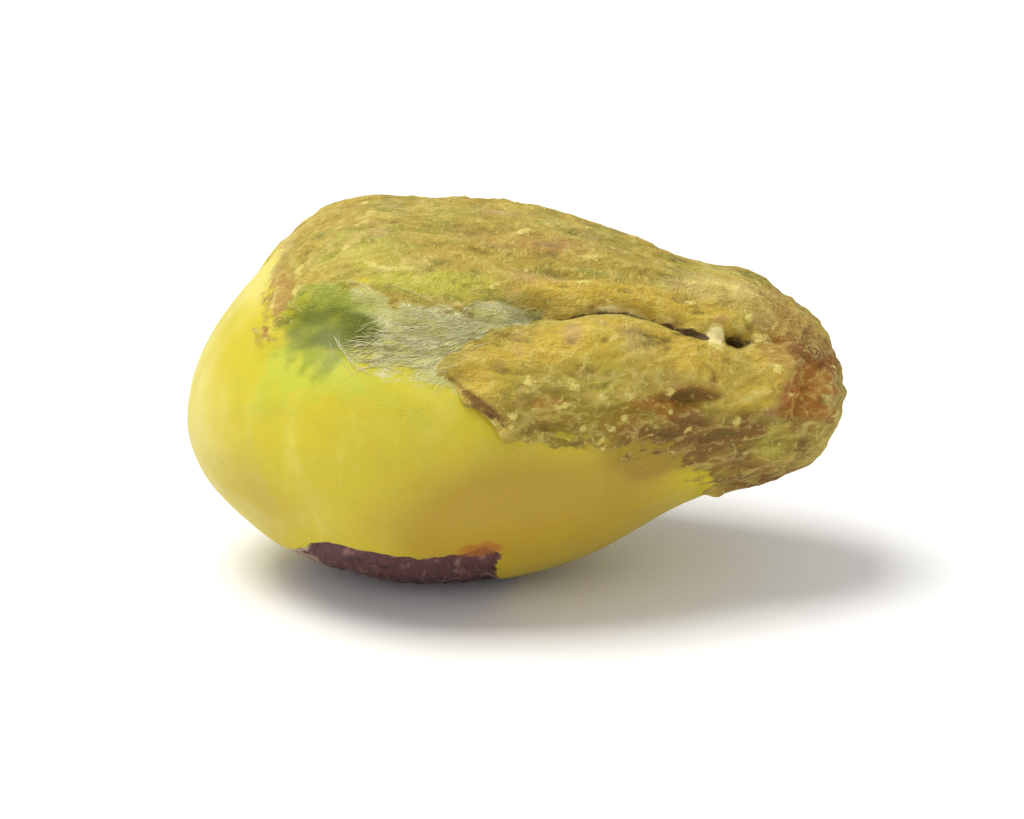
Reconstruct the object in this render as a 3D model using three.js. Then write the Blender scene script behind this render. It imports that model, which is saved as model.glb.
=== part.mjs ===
/**
 * Shelled pistachio kernel, lying on its side on a small flat spot.
 *
 * It grew as one piece, so it is one closed solid: a long rounded body, broad at one end and
 * narrow at the other, with the relief of its skin added along the outward direction.
 *
 * Millimetres. +X runs along the kernel to its narrow end, -Y is the side with the open seam,
 * +Z is up. The origin is on the surface that the kernel rests on, under the middle of its box.
 *
 * A place on the skin is given by two numbers: along, in millimetres from the middle of the
 * length, and around, in degrees round the X axis, with 0 at -Y, 90 at the top and 180 at +Y.
 */
import * as THREE from 'three';
import { mergeVertices } from 'three/addons/utils/BufferGeometryUtils.js';

// Driving dimensions of the body
const LENGTH = 17.6;
const DEPTH_TO_HEIGHT = 1.04;
const FLAT_SPOT_DEPTH = 0.25;

// The body at even places from the broad end to the narrow end.
// Fullness is the half height before the rounding of the ends, and the axis height is the height
// of the middle of the section above the lowest point.
const FULLNESS = [5.45, 5.8, 5.24, 4.6, 3.78, 4.3];
const AXIS_HEIGHT = [4.5, 5.3, 5.2, 5.3, 5.6, 5.22];

// Furrows (negative height) and ridges (positive height) along a path of [along, around] places
const FURROWS = [
  // the shallow trough where the seam is open and the skin has drawn back
  {
    path: [[-5.5, 48], [-4.4, 43], [-3.0, 37], [-1.8, 38], [-0.6, 45], [0.8, 51]],
    halfWidth: 0.95,
    height: -0.38,
  },
  // the closed part of the seam, on to the narrow end
  {
    path: [[0.4, 50], [2.85, 54], [4.05, 49], [5.2, 45], [6.2, 48], [7.25, 54]],
    halfWidth: 0.4,
    height: -0.32,
  },
  // a soft groove round the broad end
  {
    path: [[-5.95, 34], [-6.65, 12], [-6.55, -12], [-5.45, -34]],
    halfWidth: 0.75,
    height: -0.1,
  },
  // a short groove in the lobe below the seam
  {
    path: [[3.6, 16], [5.3, 15]],
    halfWidth: 0.4,
    height: -0.14,
  },
  // the seam on the far side, almost closed
  {
    path: [[-6.05, 218], [-1.9, 226], [1.9, 221], [6.6, 228]],
    halfWidth: 0.7,
    height: -0.24,
  },
  // the folded rim of skin round the narrow end's scar
  {
    path: [[4.8, 29], [5.4, 8], [6.15, 0], [6.9, 8], [7.3, 23], [7.65, 54]],
    halfWidth: 0.45,
    height: 0.18,
  },
  // the blunt rim of the narrow end
  {
    path: [[7.85, 118], [8.3, 75], [8.35, 29], [8.35, -10], [7.95, -45]],
    halfWidth: 0.45,
    height: 0.14,
  },
];

// Swellings (positive height) and hollows (negative height), with their half sizes along and around
const SWELLINGS = [
  // the lobe below the seam
  { along: 2.85, around: 38, halfLength: 2.35, halfGirth: 1.1, height: 0.28 },
  // the pit at the seam's narrow end
  { along: 6.15, around: 48, halfLength: 0.45, halfGirth: 0.28, height: -0.4 },
  // the scar where the kernel hung in its shell
  { along: 7.75, around: 20, halfLength: 0.65, halfGirth: 0.85, height: -0.26 },
  // the shoulder of the narrow end and the dip before it
  { along: 6.25, around: 100, halfLength: 0.95, halfGirth: 2.1, height: 0.2 },
  { along: 4.65, around: 100, halfLength: 0.95, halfGirth: 2.1, height: -0.12 },
  // the flatter corners of the broad end, below and above
  { along: -7.55, around: -48, halfLength: 1.25, halfGirth: 2.45, height: -0.2 },
  { along: -6.55, around: 105, halfLength: 1.25, halfGirth: 2.45, height: -0.14 },
  // uneven swelling of the far side
  { along: -3.4, around: 165, halfLength: 2.45, halfGirth: 2.45, height: 0.16 },
  { along: 1.3, around: 185, halfLength: 1.5, halfGirth: 2.1, height: -0.2 },
  { along: 4.75, around: 200, halfLength: 1.7, halfGirth: 1.7, height: 0.14 },
];

// The papery skin stops at this outline, and below and left of it the seed leaf is bare
const SKIN_THICKNESS = 0.1;
const SKIN_EDGE_SOFTNESS = 0.25;
const SKIN_OUTLINE = [
  [-6.9, 113], [-6.85, 66], [-6.65, 42], [-6.3, 51], [-5.2, 56], [-4.1, 54], [-3.05, 49], [-1.9, 47],
  [-0.7, 51], [0.95, 53], [0.0, 45], [-1.15, 37], [-2.1, 29], [-1.3, 20], [-0.75, 14], [-0.25, 10],
  [0.8, 7], [2.15, 2], [3.85, -8], [5.65, -16], [6.9, -14], [8.1, -38], [8.9, -48], [8.9, 262],
  [4.75, 246], [0.45, 238], [-2.85, 240], [-5.3, 215], [-6.25, 180], [-6.8, 145],
];

// Lengthwise wrinkles of the skin: count round the girth, sway in radians, waves per millimetre,
// phase and height
const WRINKLES = [
  { count: 13, sway: 1.7, rate: 0.42, phase: 0.4, height: 0.05 },
  { count: 19, sway: 2.3, rate: 0.61, phase: 2.1, height: 0.04 },
  { count: 27, sway: 1.5, rate: 0.93, phase: 4.4, height: 0.03 },
];
const BARE_WRINKLE_SHARE = 0.15;
const FINEST_WRINKLE = 1.1;

// Triangles: 20 * (SPHERE_DETAIL + 1)^2
const SPHERE_DETAIL = 22;

const HALF_LENGTH = LENGTH / 2;
const STATION_GAP = 2 / (FULLNESS.length - 1);

/** A smooth curve through values at even places, with t from -1 at the first to 1 at the last. */
function throughStations(values, t) {
  const last = values.length - 1;
  const place = (t + 1) / STATION_GAP;
  const first = THREE.MathUtils.clamp(Math.floor(place), 0, last - 1);
  const before = first > 0 ? values[first - 1] : 2 * values[0] - values[1];
  const after = first < last - 1 ? values[first + 2] : 2 * values[last] - values[last - 1];
  const f = place - first;
  const slopeIn = (values[first + 1] - before) / 2;
  const slopeOut = (after - values[first]) / 2;
  const rise = values[first + 1] - values[first];
  return values[first] + f * (slopeIn + f * (3 * rise - 2 * slopeIn - slopeOut
    + f * (slopeIn + slopeOut - 2 * rise)));
}

/** The angle in degrees brought between -180 and 180. */
function wrapped(degrees) {
  return THREE.MathUtils.euclideanModulo(degrees + 180, 360) - 180;
}

/** The offset on the skin, in millimetres, from a given place to a place of the body. */
function offsetOnSkin(place, along, around) {
  const turn = THREE.MathUtils.degToRad(wrapped(place.around - around));
  return new THREE.Vector2(place.along - along, turn * place.radius);
}

/** The distance on the skin from a place to a segment between two [along, around] places. */
function distanceToSegment(place, start, end) {
  const toPlace = offsetOnSkin(place, start[0], start[1]);
  const span = offsetOnSkin({ along: end[0], around: end[1], radius: place.radius }, start[0], start[1]);
  const share = THREE.MathUtils.clamp(toPlace.dot(span) / span.lengthSq(), 0, 1);
  return toPlace.distanceTo(span.multiplyScalar(share));
}

/** The distance from a place to a path, or to a closed outline. */
function distanceToPath(place, path, closed = false) {
  let nearest = Infinity;
  const segments = closed ? path.length : path.length - 1;
  for (let i = 0; i < segments; i += 1) {
    nearest = Math.min(nearest, distanceToSegment(place, path[i], path[(i + 1) % path.length]));
  }
  return nearest;
}

/** Whether a place lies inside an outline whose angles run from below the front over the top. */
function isInside(place, outline) {
  const lowest = -60;
  const around = THREE.MathUtils.euclideanModulo(place.around - lowest, 360) + lowest;
  let inside = false;
  for (let i = 0; i < outline.length; i += 1) {
    const [x0, a0] = outline[i];
    const [x1, a1] = outline[(i + 1) % outline.length];
    const crosses = (a0 > around) !== (a1 > around);
    if (crosses && place.along < x0 + ((around - a0) / (a1 - a0)) * (x1 - x0)) {
      inside = !inside;
    }
  }
  return inside;
}

/** How far a place is covered by skin: 1 on the skin, 0 on the bare seed leaf. */
function skinCover(place) {
  const distance = distanceToPath(place, SKIN_OUTLINE, true);
  const signed = isInside(place, SKIN_OUTLINE) ? distance : -distance;
  return THREE.MathUtils.smoothstep(signed, -SKIN_EDGE_SOFTNESS, SKIN_EDGE_SOFTNESS);
}

/** The height of the lengthwise wrinkles at a place. */
function wrinkleHeight(place) {
  const turn = THREE.MathUtils.degToRad(place.around);
  let height = 0;
  for (const wave of WRINKLES) {
    const spacing = (2 * Math.PI * place.radius) / wave.count;
    const strength = wave.height * THREE.MathUtils.smoothstep(spacing, FINEST_WRINKLE / 2, FINEST_WRINKLE);
    const bend = wave.sway * Math.sin(wave.rate * place.along + wave.phase);
    height += strength * Math.sin(wave.count * turn + bend + wave.rate * place.along);
  }
  return height;
}

/** The whole relief at a place, outward positive. */
function reliefHeight(place) {
  const cover = skinCover(place);
  let height = SKIN_THICKNESS * cover;
  height += wrinkleHeight(place) * THREE.MathUtils.lerp(BARE_WRINKLE_SHARE, 1, cover);
  for (const furrow of FURROWS) {
    const distance = distanceToPath(place, furrow.path);
    height += furrow.height * Math.exp(-((distance / furrow.halfWidth) ** 2));
  }
  for (const swelling of SWELLINGS) {
    const offset = offsetOnSkin(place, swelling.along, swelling.around);
    const far = (offset.x / swelling.halfLength) ** 2 + (offset.y / swelling.halfGirth) ** 2;
    height += swelling.height * Math.exp(-far);
  }
  return height;
}

/** The point of the kernel's surface for a direction, a point of the unit sphere. */
function surfacePoint(direction) {
  const fullness = throughStations(FULLNESS, direction.x);
  const place = {
    along: HALF_LENGTH * direction.x,
    around: THREE.MathUtils.radToDeg(Math.atan2(direction.z, -direction.y)),
    radius: fullness * Math.hypot(direction.y, direction.z),
  };
  const size = new THREE.Vector3(HALF_LENGTH, DEPTH_TO_HEIGHT * fullness, fullness);
  const outward = direction.clone().divide(size).normalize();
  const point = direction.clone().multiply(size).addScaledVector(outward, reliefHeight(place));
  point.z += throughStations(AXIS_HEIGHT, direction.x) - FLAT_SPOT_DEPTH;
  point.z = Math.max(point.z, 0);
  return point;
}

function kernelGeometry() {
  const sphere = new THREE.IcosahedronGeometry(1, SPHERE_DETAIL);
  sphere.deleteAttribute('normal');
  sphere.deleteAttribute('uv');
  const geometry = mergeVertices(sphere, 1e-5);
  const positions = geometry.getAttribute('position');
  for (let i = 0; i < positions.count; i += 1) {
    const direction = new THREE.Vector3().fromBufferAttribute(positions, i).normalize();
    const point = surfacePoint(direction);
    positions.setXYZ(i, point.x, point.y, point.z);
  }
  geometry.computeBoundingBox();
  const middle = geometry.boundingBox.getCenter(new THREE.Vector3());
  geometry.translate(-middle.x, -middle.y, 0);
  geometry.computeVertexNormals();
  return geometry;
}

const kernelMaterial = new THREE.MeshStandardMaterial({
  color: 0xa9a63a,
  roughness: 0.55,
  metalness: 0,
});

const kernel = new THREE.Mesh(kernelGeometry(), kernelMaterial);
kernel.name = 'kernel';

const pistachio = new THREE.Group();
pistachio.add(kernel);

export default pistachio;
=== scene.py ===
# %% [markdown]
# A shelled pistachio kernel, seen from close by. It is one seed: two waxy seed leaves pressed
# together, inside a thin papery skin that has come off the front of the broad end. This script
# keeps the form of the modelled solid and gives it a much finer surface: creased skin with torn
# edges, fibres in the open seam, a scar at the narrow end, and the colours of each of them.

# %% Load the frame that everything is built around
import math
import random
from types import SimpleNamespace

import bpy
import numpy as np
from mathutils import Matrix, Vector, noise


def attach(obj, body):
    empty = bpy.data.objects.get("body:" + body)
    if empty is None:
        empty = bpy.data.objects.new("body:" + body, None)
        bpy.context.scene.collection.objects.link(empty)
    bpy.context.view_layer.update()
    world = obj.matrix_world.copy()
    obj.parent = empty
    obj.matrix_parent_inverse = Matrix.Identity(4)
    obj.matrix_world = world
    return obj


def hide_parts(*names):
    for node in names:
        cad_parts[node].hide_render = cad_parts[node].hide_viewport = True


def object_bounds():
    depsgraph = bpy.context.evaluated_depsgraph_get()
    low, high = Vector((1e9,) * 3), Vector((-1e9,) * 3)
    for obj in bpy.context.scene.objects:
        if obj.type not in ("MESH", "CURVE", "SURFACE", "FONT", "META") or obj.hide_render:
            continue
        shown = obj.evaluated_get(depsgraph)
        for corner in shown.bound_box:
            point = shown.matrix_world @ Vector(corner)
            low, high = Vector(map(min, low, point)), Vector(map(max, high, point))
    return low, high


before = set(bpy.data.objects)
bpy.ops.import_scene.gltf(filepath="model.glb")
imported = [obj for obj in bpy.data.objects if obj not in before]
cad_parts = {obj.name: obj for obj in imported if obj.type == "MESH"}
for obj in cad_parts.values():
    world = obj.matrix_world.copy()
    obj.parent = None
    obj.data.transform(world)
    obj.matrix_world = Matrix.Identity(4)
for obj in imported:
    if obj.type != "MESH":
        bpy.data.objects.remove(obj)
cad_low, cad_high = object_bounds()
MM = 0.001
print("nodes of the frame:", *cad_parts)
print("kernel in mm:", [round(s / MM, 2) for s in cad_high - cad_low])

# %% [markdown]
# The form repeats the solid's own numbers, so that both have one outline: a ball stretched along
# X, with its girth and the height of its axis given at a few even places. A subdivided cage could
# do it too, but a formula can be asked for the surface at any place, which the fibres and the lifted
# edges need later. Everything in the shape cells is in millimetres.

# %% Driving dimensions of the body
LENGTH = 17.6
DEPTH_TO_HEIGHT = 1.04
FLAT_SPOT_DEPTH = 0.25
# At even places from the broad end to the narrow one: what the half height of a ball of radius 1
# is stretched to there, and the height of the axis
FULLNESS = [5.45, 5.8, 5.24, 4.6, 3.78, 4.3]
AXIS_HEIGHT = [4.5, 5.3, 5.2, 5.3, 5.6, 5.22]
HALF_LENGTH = LENGTH / 2


def through_stations(values, t):
    """A smooth curve through values at even places, with t from -1 at the first to 1 at the last."""
    ends = [2 * values[0] - values[1], 2 * values[-1] - values[-2]]
    v = np.array([ends[0], *values, ends[1]])
    place = (t + 1) * (len(values) - 1) / 2
    first = np.clip(np.floor(place).astype(int), 0, len(values) - 2)
    f = place - first
    before, start, end, after = (v[first + k] for k in range(4))
    slope_in, slope_out, rise = (end - before) / 2, (after - start) / 2, end - start
    bend = f * (slope_in + slope_out - 2 * rise)
    return start + f * (slope_in + f * (3 * rise - 2 * slope_in - slope_out + bend))


print("a ball stretched to", LENGTH, "mm, with its girth given at", len(FULLNESS), "places")

# %% [markdown]
# A place on the skin is two numbers: along, in millimetres from the middle of the length, and
# around, in degrees round the long axis, with 0 at the front and 90 on top. Small features are
# measured on the skin itself, so that a groove keeps its width wherever it runs.

# %% Places on the skin
# Places stop just short of the two tips, where the angle round the axis has no meaning
TIP = 0.999


def places_at(directions):
    """The places of the body for directions, which are points of the unit ball, one to a row."""
    x, y, z = directions.T
    fullness = through_stations(FULLNESS, x)
    size = np.stack((np.full_like(x, HALF_LENGTH), DEPTH_TO_HEIGHT * fullness, fullness), axis=1)
    outward = directions / size
    outward /= np.linalg.norm(outward, axis=1, keepdims=True)
    body = directions * size
    body[:, 2] += through_stations(AXIS_HEIGHT, x) - FLAT_SPOT_DEPTH
    return SimpleNamespace(along=HALF_LENGTH * x, around=np.degrees(np.arctan2(z, -y)),
                           radius=fullness * np.hypot(y, z), body=body, outward=outward)


def direction_of(along, around):
    """The direction of the unit ball that belongs to places given as along and around."""
    x = np.clip(np.asarray(along, float) / HALF_LENGTH, -TIP, TIP)
    turn = np.radians(around)
    ring = np.sqrt(1 - x * x)
    return np.stack((x, -ring * np.cos(turn), ring * np.sin(turn)), axis=-1)


def offset_on_skin(place, along, around):
    """How far each place is from one place, in millimetres along and round the body."""
    turn = np.radians((place.around - around + 180) % 360 - 180)
    return place.along - along, turn * place.radius


# %% Distances from lines and outlines
# Two points of a line may fall together, and this keeps the share of the way from dividing by zero
SHORTEST_SPAN = 1e-9


def near_path(place, path):
    """How far each place is, on the skin, from a line through places, and its share of the way."""
    nearest = np.full(len(place.along), np.inf)
    way = np.zeros(len(place.along))
    for step, (start, end) in enumerate(zip(path, path[1:])):
        dx, dy = offset_on_skin(place, *start)
        span_x = end[0] - start[0]
        span_y = np.radians((end[1] - start[1] + 180) % 360 - 180) * place.radius
        reach = np.maximum(span_x ** 2 + span_y ** 2, SHORTEST_SPAN)
        share = np.clip((dx * span_x + dy * span_y) / reach, 0, 1)
        distance = np.hypot(dx - share * span_x, dy - share * span_y)
        closer = distance < nearest
        nearest[closer] = distance[closer]
        way[closer] = (step + share[closer]) / (len(path) - 1)
    return nearest, way


def is_inside(place, outline, lowest):
    """Whether each place lies inside an outline, with angles counted up from the lowest one."""
    around = (place.around - lowest) % 360 + lowest
    inside = np.zeros(len(around), bool)
    for (x0, a0), (x1, a1) in zip(outline, outline[1:] + outline[:1]):
        crosses = (a0 > around) != (a1 > around)
        rise = a1 - a0 if a1 != a0 else 1
        inside ^= crosses & (place.along < x0 + (around - a0) / rise * (x1 - x0))
    return inside


# %% Soft steps and noise
# Each pattern takes its own draw of one noise, so that no two of them are alike
DRAW_SHIFT = np.array([17.3, 9.1, 5.7])
DRAWS = {"fray": 3, "lip": 5, "sway": 7, "crinkle": 20, "end": 30, "scar": 33, "leaf": 40, "fibre": 45,
         "violet": 50, "mottle": 60, "half mottle": 70, "line": 80, "wrinkle": 90}


def smooth_step(low, high, values):
    """0 below low, 1 above high, and a smooth rise between them."""
    t = np.clip((values - low) / (high - low), 0, 1)
    return t * t * (3 - 2 * t)


def grain(points, size, pattern, layer=0):
    """Smooth noise from about -1 to 1. Its lumps have one size in millimetres, or one for each axis."""
    shifted = points / np.asarray(size, float) + DRAW_SHIFT * (DRAWS[pattern] + layer)
    return np.array([noise.noise(p) for p in shifted.tolist()])


print(len(DRAWS), "patterns of noise")

# %% [markdown]
# The skin is a real layer about a tenth of a millimetre thick that stops at a torn outline. The
# outline starts from the solid's own, noise at two sizes frays it, and the skin closes round the
# narrow end. Its signed distance is kept as a number on every vertex, because the shader later
# paints exactly the same edge. Where the skin has worn thin it has no sharp edge and ends in wisps.

# %% The outline of the papery skin
SKIN_THICKNESS = 0.1
SKIN_OUTLINE = [
    (-6.7, 118), (-6.45, 104), (-6.4, 84), (-6.65, 68), (-6.65, 42), (-6.3, 51), (-5.2, 56), (-4.1, 54),
    (-3.05, 49), (-1.9, 47), (-0.7, 51), (0.95, 53), (0.05, 45), (-1.05, 38), (-1.95, 30), (-1.1, 21.5),
    (-0.55, 15.5), (-0.1, 11), (0.9, 8), (2.15, 2), (3.3, -5), (4.3, -17), (5.1, -38), (8.9, -48),
    (8.9, 262), (4.75, 246), (0.45, 238), (-2.85, 240), (-5.3, 215), (-6.25, 180), (-6.8, 145),
]
SKIN_LOWEST_ANGLE = -60
# Past this place along, the skin goes all the way round, with an edge frayed so many times as much
END_SKIN_FROM, END_FRAY = 5.3, 2
# Frayed by lumps of these sizes, by these amounts, in millimetres
FRAY = [(0.9, 0.16), (0.32, 0.07)]
# Where the skin has worn thin: along, around, half length, half girth, strength
THIN_SKIN = [
    (-5.0, 54, 0.8, 0.5, 0.7), (-6.8, 50, 0.6, 1.4, 0.6), (-6.9, 100, 0.9, 3.0, 1.0),
    (-4.4, 57, 1.2, 0.5, 0.9), (-2.0, 49, 0.9, 0.4, 0.9), (1.6, 2, 1.5, 0.6, 0.9),
    (3.2, -6, 1.0, 0.7, 0.8), (4.6, -25, 1.0, 2.0, 1.0), (-0.4, 47, 0.7, 0.4, 0.6),
    (-1.6, 33, 0.4, 0.3, 0.5),
]


def fraying(place):
    """How far each place of an edge is moved in or out, in millimetres."""
    return sum(amount * grain(place.body, size, "fray", layer) for layer, (size, amount) in enumerate(FRAY))


def edge_distance(place, outline, lowest):
    """The frayed distance from an outline, in millimetres, above zero inside it."""
    distance, _ = near_path(place, outline + outline[:1])
    signed = np.where(is_inside(place, outline, lowest), distance, -distance)
    return signed + fraying(place)


print(len(SKIN_OUTLINE), "points round the skin, which is worn thin in", len(THIN_SKIN), "spots")

# %% [markdown]
# Along the lower front a patch of violet skin is left, a colour that the skin of such kernels often
# has in places. It sits lower than the bare leaf beside it, which ends over it in a sharp edge, and
# it is drawn into fine pleats. Its signed distance is made like the other skin's. Only its upper
# edge shows in the picture, so the rest of its outline is a guess.

# %% The outline of the violet patch
VIOLET_OUTLINE = [
    (-6.35, -66), (-5.9, -56), (-5.45, -42), (-4.7, -35), (-3.4, -35), (-2.2, -36), (-1.25, -34),
    (-0.75, -31), (-0.35, -37), (-0.5, -55), (0.1, -78), (-0.3, -100), (-1.4, -110), (-2.8, -112),
    (-4.8, -108), (-6.0, -92),
]
VIOLET_LOWEST_ANGLE = -180
VIOLET_DEPTH = 0.1
# Size across and along the pleats, and their height
VIOLET_PLEATS = (0.35, 1.2, 0.045)
print(len(VIOLET_OUTLINE), "points round the violet patch")

# %% [markdown]
# The larger relief is the solid's own list of furrows and swellings. Below it come the features
# that are too fine for the solid: the crack of the closed seam, creases in the lobe below it, the
# folds and the rim round the pit at its end. Each is a line with a soft cross section.

# %% Furrows, ridges and swellings that the solid has too
FURROWS = [
    ([(-5.5, 48), (-4.4, 43), (-3.0, 37), (-1.8, 38), (-0.6, 45), (0.8, 51)], 0.95, -0.38),
    ([(0.4, 50), (2.85, 54), (4.05, 49), (5.2, 45), (6.2, 48), (7.25, 54)], 0.4, -0.32),
    ([(-5.95, 34), (-6.65, 12), (-6.55, -12), (-5.45, -34)], 0.75, -0.1),
    ([(3.6, 16), (5.3, 15)], 0.4, -0.14),
    ([(-6.05, 218), (-1.9, 226), (1.9, 221), (6.6, 228)], 0.7, -0.24),
    ([(4.8, 29), (5.4, 8), (6.15, 0), (6.9, 8), (7.3, 23), (7.65, 54)], 0.45, 0.18),
    ([(7.85, 118), (8.3, 75), (8.35, 29), (8.35, -10), (7.95, -45)], 0.45, 0.14),
]
# Along, around, half length, half girth, height
SWELLINGS = [
    (2.85, 38, 2.35, 1.1, 0.28), (6.15, 48, 0.45, 0.28, -0.4), (7.75, 20, 0.65, 0.85, -0.26),
    (6.25, 100, 0.95, 2.1, 0.2), (4.65, 100, 0.95, 2.1, -0.12), (-7.55, -48, 1.25, 2.45, -0.2),
    (-6.55, 105, 1.25, 2.45, -0.14), (-3.4, 165, 2.45, 2.45, 0.16), (1.3, 185, 1.5, 2.1, -0.2),
    (4.75, 200, 1.7, 1.7, 0.14),
]
# Count round the girth, sway in radians, radians per millimetre along, phase and height
WRINKLES = [(13, 1.7, 0.42, 0.4, 0.05), (19, 2.3, 0.61, 2.1, 0.04), (27, 1.5, 0.93, 4.4, 0.03)]
BARE_WRINKLE_SHARE = 0.15
FINEST_WRINKLE = 1.1
# How much their height varies, and over how many millimetres
WRINKLE_VARIES, WRINKLE_PATCH = 0.6, 2.4
print(len(FURROWS), "furrows and ridges,", len(SWELLINGS), "swellings,", len(WRINKLES), "waves")

# %% Creases and folds too fine for the solid: path, half width, height, whether the ends thin out
CRACK = [(0.6, 51), (1.41, 50), (2.2, 52), (3.13, 54.5), (3.93, 51.5), (4.59, 47), (5.15, 45)]
TORN_EDGE = [(-2.0, 31), (-1.1, 21.5), (-0.6, 15.5), (-0.1, 11)]
PIT_RIM = [(5.7, 49), (5.9, 54), (6.4, 55.5), (6.64, 51.5), (6.42, 46), (5.95, 44.5), (5.7, 49)]
SCAR_RIM = [(6.8, 12), (7.15, 28), (7.75, 47), (8.2, 42), (8.42, 20), (8.15, -4), (7.5, -7),
            (6.95, 2), (6.8, 12)]
FINE_FOLDS = [
    (CRACK, 0.12, -0.22, True),
    (TORN_EDGE, 0.1, -0.05, True),
    ([(3.4, 18.5), (4.4, 15.5), (5.5, 15)], 0.17, -0.13, True),
    ([(-0.8, 63), (0.7, 64.5), (2.3, 64.5), (3.7, 66)], 0.12, -0.06, True),
    ([(-4.9, 71), (-3.0, 76), (-0.6, 80), (1.8, 80), (4.0, 84)], 0.16, -0.06, True),
    ([(-3.4, 98), (-0.6, 101), (2.4, 99), (4.7, 104)], 0.18, -0.06, True),
    ([(3.1, 42.5), (3.81, 41), (4.5, 37.5)], 0.09, -0.05, True),
    ([(6.7, 50.5), (7.1, 54), (7.6, 55)], 0.1, -0.09, True),
    ([(0.6, 30), (1.68, 27), (2.87, 25), (4.05, 22), (5.1, 24)], 0.3, -0.12, True),
    (PIT_RIM, 0.15, 0.06, False),
    ([(5.4, 8), (6.18, 13), (7.3, 24)], 0.2, 0.13, True),
    ([(5.1, 32), (5.59, 24), (5.53, 13), (5.6, 0)], 0.17, 0.12, True),
    ([(6.3, 36), (6.7, 26), (6.7, 16), (6.5, 6)], 0.13, 0.07, True),
    (SCAR_RIM, 0.2, 0.12, False),
    ([(7.45, 38), (7.8, 30), (8.0, 18), (7.7, 6)], 0.14, -0.1, True),
    ([(-6.67, 84), (-6.79, 61), (-6.85, 49), (-6.73, 39)], 0.12, 0.05, True),
    ([(-6.19, 76), (-6.37, 60), (-6.45, 45)], 0.13, 0.06, True),
    ([(-4.9, 44), (-4.42, 33), (-3.95, 27)], 0.09, 0.05, True),
    ([(-6.2, 22), (-6.2, 4), (-5.8, -12), (-5.2, -28)], 0.3, -0.045, True),
    ([(-6.9, 30), (-6.95, 8), (-6.6, -14), (-5.9, -36)], 0.35, 0.05, True),
    ([(-7.4, 70), (-8.2, 40), (-8.3, -20), (-7.6, -60)], 0.5, 0.05, True),
    ([(-5.9, 150), (-7.3, 170), (-8.2, 200), (-7.9, 240)], 0.4, -0.05, True),
]
print(len(FINE_FOLDS), "creases and folds")

# %% [markdown]
# Pale beads and flecks stand on the papery skin. Their pale paint is partly the skin's own pale colour and
# partly painted highlight on crests that catch the light. They could be small objects, but here each is a
# mound of the surface, and the same numbers tell the shader where the skin is pale. The clear ones are
# listed one by one, and many small ones are drawn from one seed.

# %% Beads and flecks of dry skin
# Along, around, half length, half width, height, slope against the length in degrees
BEADS = [
    (1.61, 24, 0.2, 0.15, 0.1, -25), (4.22, 18, 0.15, 0.13, 0.11, 0), (2.97, 11, 0.17, 0.12, 0.08, 20),
    (2.63, 8, 0.15, 0.11, 0.07, 0), (1.39, 18, 0.18, 0.13, 0.08, 0), (2.36, 20, 0.22, 0.13, 0.08, 10),
    (0.45, 26, 0.14, 0.24, 0.06, 0), (0.0, 15.5, 0.17, 0.12, 0.07, 0), (-0.05, 12.5, 0.15, 0.12, 0.07, 20),
    (3.1, 19, 0.16, 0.12, 0.06, 20), (5.9, 3, 0.16, 0.12, 0.06, 0),
    (4.68, 0, 0.11, 0.08, 0.05, 0), (2.4, 1, 0.11, 0.08, 0.05, 0), (5.5, 46, 0.3, 0.3, 0.1, 0),
    (6.85, 53, 0.2, 0.16, 0.1, 0), (-3.17, 61, 0.34, 0.09, 0.05, 4), (-4.05, 83, 0.26, 0.1, 0.05, 20),
    (-7.13, 39, 0.11, 0.09, 0.03, 0), (0.3, 82, 0.25, 0.08, 0.05, 30), (2.2, 74, 0.3, 0.09, 0.05, 12),
]
FLECK_COUNT = 150
# Ranges that the others are drawn from, and the middle and spread of their slope in degrees
FLECK_ALONG, FLECK_AROUND, FLECK_SLOPE = (-0.8, 0.97), (-30, 270), (8, 26)
FLECK_LENGTH, FLECK_WIDTH_SHARE, FLECK_HEIGHT = (0.07, 0.22), (0.3, 0.7), (0.015, 0.04)
FLECK_REACH = 4
FLECK_DRAW = random.Random(11)


def drawn_fleck():
    """One fleck at a random place, longer than wide, and running mostly lengthwise."""
    along = HALF_LENGTH * FLECK_DRAW.uniform(*FLECK_ALONG)
    around = FLECK_DRAW.uniform(*FLECK_AROUND)
    half_length = FLECK_DRAW.uniform(*FLECK_LENGTH)
    half_width = half_length * FLECK_DRAW.uniform(*FLECK_WIDTH_SHARE)
    height = FLECK_DRAW.uniform(*FLECK_HEIGHT)
    return along, around, half_length, half_width, height, FLECK_DRAW.gauss(*FLECK_SLOPE)


FLECKS = BEADS + [drawn_fleck() for _ in range(FLECK_COUNT)]


def fleck_field(place):
    """Height of the flecks, in millimetres, and how fully each place is covered by one."""
    height = np.zeros(len(place.along))
    cover = np.zeros(len(place.along))
    for along, around, half_length, half_width, rise, slope in FLECKS:
        dx, dy = offset_on_skin(place, along, around)
        near = np.abs(dx) + np.abs(dy) < FLECK_REACH * half_length
        turn = math.radians(slope)
        lengthwise = dx[near] * math.cos(turn) + dy[near] * math.sin(turn)
        across = dy[near] * math.cos(turn) - dx[near] * math.sin(turn)
        rounded = np.exp(-(lengthwise / half_length) ** 2 - (across / half_width) ** 2)
        height[near] += rise * rounded
        cover[near] = np.maximum(cover[near], rounded)
    return height, cover


print(len(FLECKS), "flecks of dry skin")

# %% [markdown]
# Crinkles cover the papery skin at three sizes. Ridged noise, which is sharp on its crests and
# wide in its hollows, looks like shrunken skin, while plain noise looks like lumps. It is
# stretched lengthwise as the real creases are. The narrow end is lumpier, where the seed hung on
# its stalk, and small pleats run out from the scar there.

# %% Shapes that the relief is made of
# Size along, size across and height, all in millimetres
CRINKLES = [(2.6, 0.6, 0.045), (1.1, 0.3, 0.034), (0.42, 0.18, 0.016)]
CRINKLE_TOTAL = sum(height for _, _, height in CRINKLES)
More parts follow.
